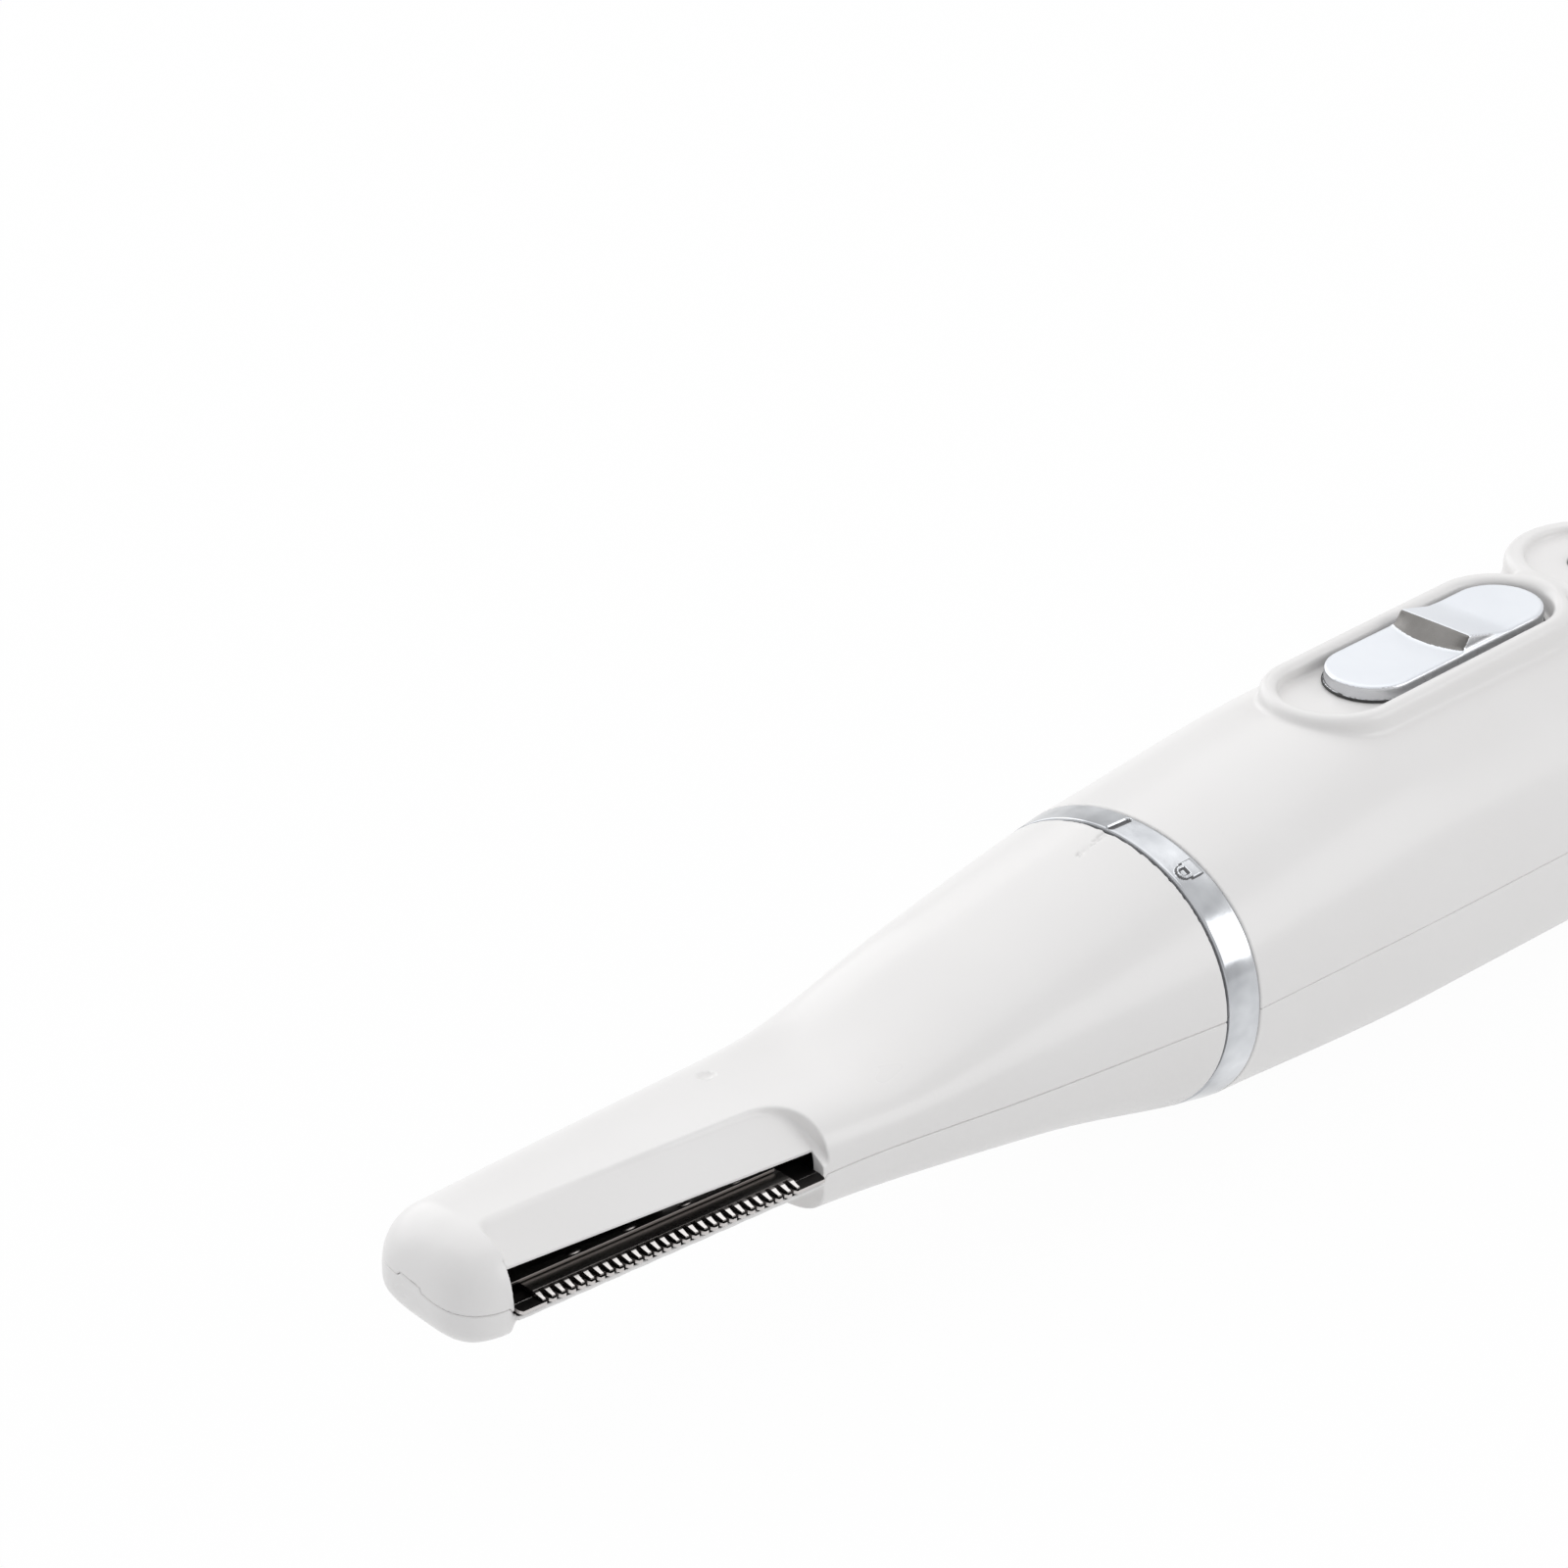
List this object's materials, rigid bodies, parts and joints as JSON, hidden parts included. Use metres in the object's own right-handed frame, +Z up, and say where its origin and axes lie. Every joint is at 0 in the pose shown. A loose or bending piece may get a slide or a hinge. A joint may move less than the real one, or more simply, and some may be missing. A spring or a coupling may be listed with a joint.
{
  "type": "eyebrow trimmer",
  "caption": "Cordless eyebrow trimmer: a slim twist-off head with a comb and a moving toothed blade on one side, a chrome ring, and a round handle with a slide switch.",
  "frame": {"origin": "under the middle of the bounding box, on the surface that the flat of the belly rests on", "axes": "+X along the drive axis from the cutting tip to the tail, +Z up through the slide switch, the blade cuts towards -Y"},
  "size_m": [0.1644, 0.0254, 0.0269],
  "materials": {
    "white_plastic": "glossy off-white moulded plastic",
    "chrome_trim": "bright chrome",
    "silver_paint": "satin silver paint on plastic",
    "blade_steel": "ground blade steel",
    "dark_steel": "dark blade steel",
    "spring_steel": "nickel plated",
    "zinc_screw": "zinc plated",
    "can_steel": "plated deep-drawn steel",
    "grey_nylon": "grey nylon",
    "black_nylon": "black nylon",
    "ferrite": "sintered ferrite",
    "lamination": "stacked steel laminations",
    "copper_wire": "enamelled copper",
    "sintered_bronze": "sintered bronze",
    "cell_wrap": "plain green sleeve on a cell",
    "board_green": "solder resist",
    "chip_black": "moulded chip",
    "clear_lens": "clear plastic",
    "red_lead": "insulated lead",
    "black_lead": "insulated lead"
  },
  "bodies": {
    "handle": {"chrome_ring": "chrome_trim", "bayonet_socket": "black_nylon", "handle_upper_shell": "white_plastic", "handle_lower_shell": "white_plastic", "handle_screw_near": "zinc_screw", "handle_screw_far": "zinc_screw", "slide_switch_case": "can_steel", "circuit_board": "board_green", "charging_chip": "chip_black", "capacitor": "spring_steel", "indicator_led": "clear_lens", "indicator_lens": "clear_lens", "inner_frame": "grey_nylon", "motor_can": "can_steel", "front_bush": "sintered_bronze", "motor_end_cap": "black_nylon", "motor_magnet_near": "ferrite", "motor_magnet_far": "ferrite", "motor_brush_near": "copper_wire", "motor_brush_far": "copper_wire", "motor_terminal_near": "spring_steel", "motor_terminal_far": "spring_steel", "battery_cell": "cell_wrap", "front_contact": "spring_steel", "rear_contact": "spring_steel", "charging_socket": "black_nylon", "charging_pin": "spring_steel", "motor_lead_red": "red_lead", "motor_lead_black": "black_lead", "battery_lead_red": "red_lead", "charging_lead_red": "red_lead", "charging_lead_black": "black_lead"},
    "switch": {"switch_button": "silver_paint", "switch_carriage": "grey_nylon", "slide_switch_knob": "black_nylon"},
    "rotor": {"motor_shaft": "spring_steel", "armature_core": "lamination", "armature_winding": "copper_wire", "commutator": "copper_wire", "eccentric_hub": "black_nylon"},
    "head": {"head_upper_shell": "white_plastic", "head_lower_shell": "white_plastic", "head_screw_near": "zinc_screw", "head_screw_far": "zinc_screw", "lever_pivot_pin": "spring_steel", "bayonet_sleeve": "white_plastic", "comb_blade": "dark_steel", "blade_spring": "dark_steel", "comb_screw_tip": "zinc_screw", "comb_screw_neck": "zinc_screw"},
    "lever": {"drive_lever": "grey_nylon"},
    "cutter": {"moving_blade": "blade_steel", "blade_carrier": "grey_nylon"}
  },
  "joints": [
    {"name": "switch_slide", "type": "slide", "parent": "handle", "child": "switch", "axis": [-1, 0, 0], "range_m": [0, 0.004]},
    {"name": "rotor_spin", "type": "hinge", "parent": "handle", "child": "rotor", "pos_m": [-0.0184, 0, 0.01175], "axis": [1, 0, 0], "continuous": true},
    {"name": "head_twist", "type": "hinge", "parent": "handle", "child": "head", "pos_m": [-0.0184, 0, 0.01175], "axis": [1, 0, 0], "range_deg": [0, 30]},
    {"name": "lever_swing", "type": "hinge", "parent": "head", "child": "lever", "pos_m": [-0.0499, 0.0032, 0.0137], "axis": [0, 0, 1], "range_deg": [-2.29, 2.29]},
    {"name": "cutter_slide", "type": "slide", "parent": "head", "child": "cutter", "axis": [0.9971, -0.0767, 0], "range_m": [-0.000265, 0.000265]}
  ],
  "couplings": [
    {"joint": "cutter_slide", "follows": "lever_swing", "m_per_rad": 0.0065805}
  ]
}
